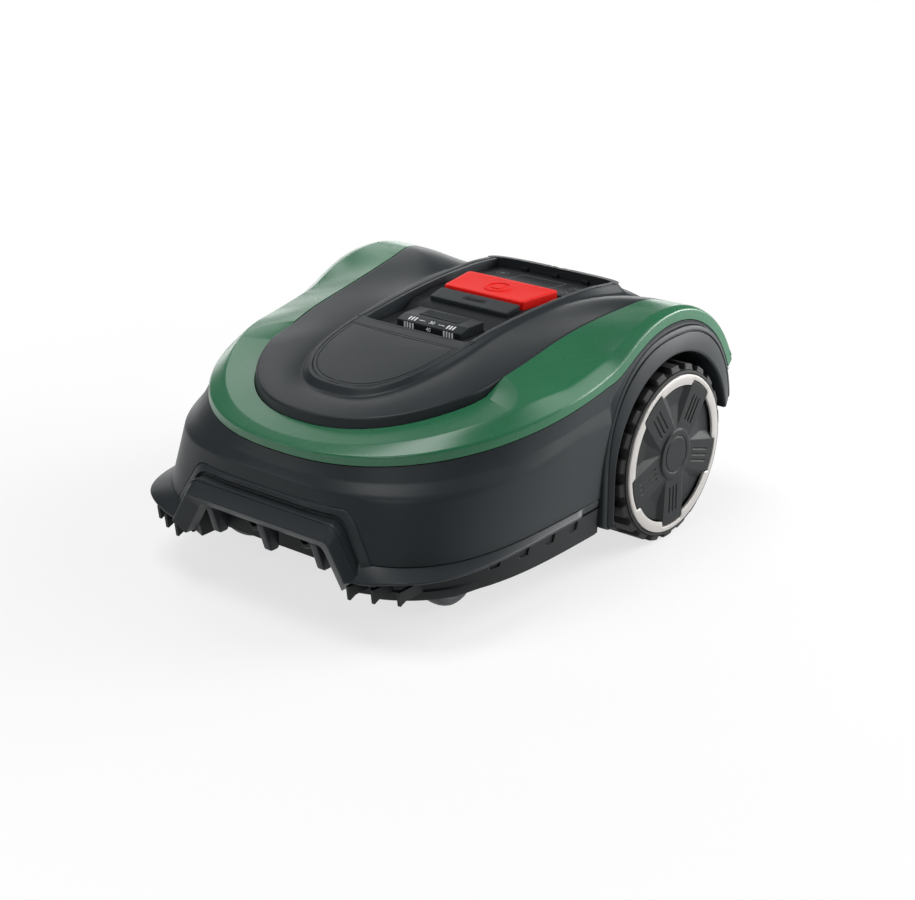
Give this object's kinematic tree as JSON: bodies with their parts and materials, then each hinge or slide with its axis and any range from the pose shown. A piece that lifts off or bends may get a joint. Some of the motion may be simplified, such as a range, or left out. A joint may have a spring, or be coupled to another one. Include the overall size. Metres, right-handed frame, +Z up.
{
  "type": "robotic_lawn_mower",
  "caption": "Compact robotic lawn mower with a green shell ring over a dark body, rear drive wheels, front casters, a red stop button and a height-adjustable blade disc.",
  "frame": {"origin": "middle of the mower's footprint, on the ground", "axes": "+X is the mower's left side, the front faces -Y, +Z is up; the mower is symmetric about X = 0"},
  "size_m": [0.364, 0.443, 0.2026],
  "materials": {
    "shell_dark": "satin",
    "trim_black": "satin",
    "shell_green": "semi-gloss",
    "stop_red": "semi-gloss",
    "tyre_rubber": "matte",
    "ring_silver": "satin metallic",
    "caster_grey": "matte",
    "housing_grey": "matte",
    "bare_steel": "brushed",
    "contact_metal": "plated"
  },
  "bodies": {
    "mower_body": {"chassis_tray": "trim_black", "body_shell": "shell_dark", "green_shell": "shell_green", "top_hood": "shell_dark", "nose_panel": "shell_dark", "control_tray": "trim_black", "sensor_bar": "trim_black", "keypad": "trim_black", "front_bumper": "shell_dark", "left_contact": "contact_metal", "right_contact": "contact_metal", "left_wheel_arch": "shell_dark", "right_wheel_arch": "shell_dark", "rear_grip": "trim_black", "battery_pack": "trim_black", "control_box": "housing_grey", "left_drive_unit": "housing_grey", "right_drive_unit": "housing_grey", "left_guide_post": "bare_steel", "right_guide_post": "bare_steel", "stop_spring": "bare_steel"},
    "left_wheel": {"left_tyre": "tyre_rubber", "left_rim": "trim_black", "left_trim_ring": "ring_silver", "left_hub_cover": "shell_dark", "left_axle": "bare_steel"},
    "left_caster": {"left_caster_fork": "shell_dark", "left_caster_pin": "bare_steel", "left_caster_clip": "trim_black"},
    "left_caster_roller": {"left_caster_wheel": "caster_grey"},
    "right_wheel": {"right_tyre": "tyre_rubber", "right_rim": "trim_black", "right_trim_ring": "ring_silver", "right_hub_cover": "shell_dark", "right_axle": "bare_steel"},
    "right_caster": {"right_caster_fork": "shell_dark", "right_caster_pin": "bare_steel", "right_caster_clip": "trim_black"},
    "right_caster_roller": {"right_caster_wheel": "caster_grey"},
    "cutter": {"cutter_carriage": "trim_black", "cutter_motor": "housing_grey", "height_adjuster": "shell_dark", "lift_post": "housing_grey"},
    "blade_rotor": {"blade_disc": "trim_black", "cutter_spindle": "bare_steel", "blade_screw_1": "bare_steel", "blade_screw_2": "bare_steel", "blade_screw_3": "bare_steel"},
    "swing_blade_1": {"blade_1": "bare_steel"},
    "swing_blade_2": {"blade_2": "bare_steel"},
    "swing_blade_3": {"blade_3": "bare_steel"},
    "stop": {"stop_button": "stop_red"}
  },
  "joints": [
    {"name": "left_wheel_spin", "type": "hinge", "parent": "mower_body", "child": "left_wheel", "pos_m": [0.158, 0.1056, 0.0779], "axis": [1, 0, 0], "continuous": true},
    {"name": "left_caster_swivel", "type": "hinge", "parent": "mower_body", "child": "left_caster", "pos_m": [0.108, -0.126, 0.066], "axis": [0, 0, 1], "continuous": true},
    {"name": "left_caster_roll", "type": "hinge", "parent": "left_caster", "child": "left_caster_roller", "pos_m": [0.108, -0.114, 0.03], "axis": [1, 0, 0], "continuous": true},
    {"name": "right_wheel_spin", "type": "hinge", "parent": "mower_body", "child": "right_wheel", "pos_m": [-0.158, 0.1056, 0.0779], "axis": [1, 0, 0], "continuous": true},
    {"name": "right_caster_swivel", "type": "hinge", "parent": "mower_body", "child": "right_caster", "pos_m": [-0.108, -0.126, 0.066], "axis": [0, 0, 1], "continuous": true},
    {"name": "right_caster_roll", "type": "hinge", "parent": "right_caster", "child": "right_caster_roller", "pos_m": [-0.108, -0.114, 0.03], "axis": [1, 0, 0], "continuous": true},
    {"name": "cutting_height", "type": "slide", "parent": "mower_body", "child": "cutter", "axis": [0, 0, 1], "range_m": [-0.01, 0.01]},
    {"name": "blade_disc_spin", "type": "hinge", "parent": "cutter", "child": "blade_rotor", "pos_m": [0, -0.015, 0.04], "axis": [0, 0, 1], "continuous": true},
    {"name": "blade_1_pivot", "type": "hinge", "parent": "blade_rotor", "child": "swing_blade_1", "pos_m": [0, 0.056, 0.0405], "axis": [0, 0, 1], "continuous": true},
    {"name": "blade_2_pivot", "type": "hinge", "parent": "blade_rotor", "child": "swing_blade_2", "pos_m": [-0.06149, -0.0505, 0.0405], "axis": [0, 0, 1], "continuous": true},
    {"name": "blade_3_pivot", "type": "hinge", "parent": "blade_rotor", "child": "swing_blade_3", "pos_m": [0.06149, -0.0505, 0.0405], "axis": [0, 0, 1], "continuous": true},
    {"name": "stop_press", "type": "slide", "parent": "mower_body", "child": "stop", "axis": [0, 0, -1], "range_m": [0, 0.004], "stiffness_N_per_m": 800, "springref_m": -0.004, "deforming": ["stop_spring"]}
  ]
}
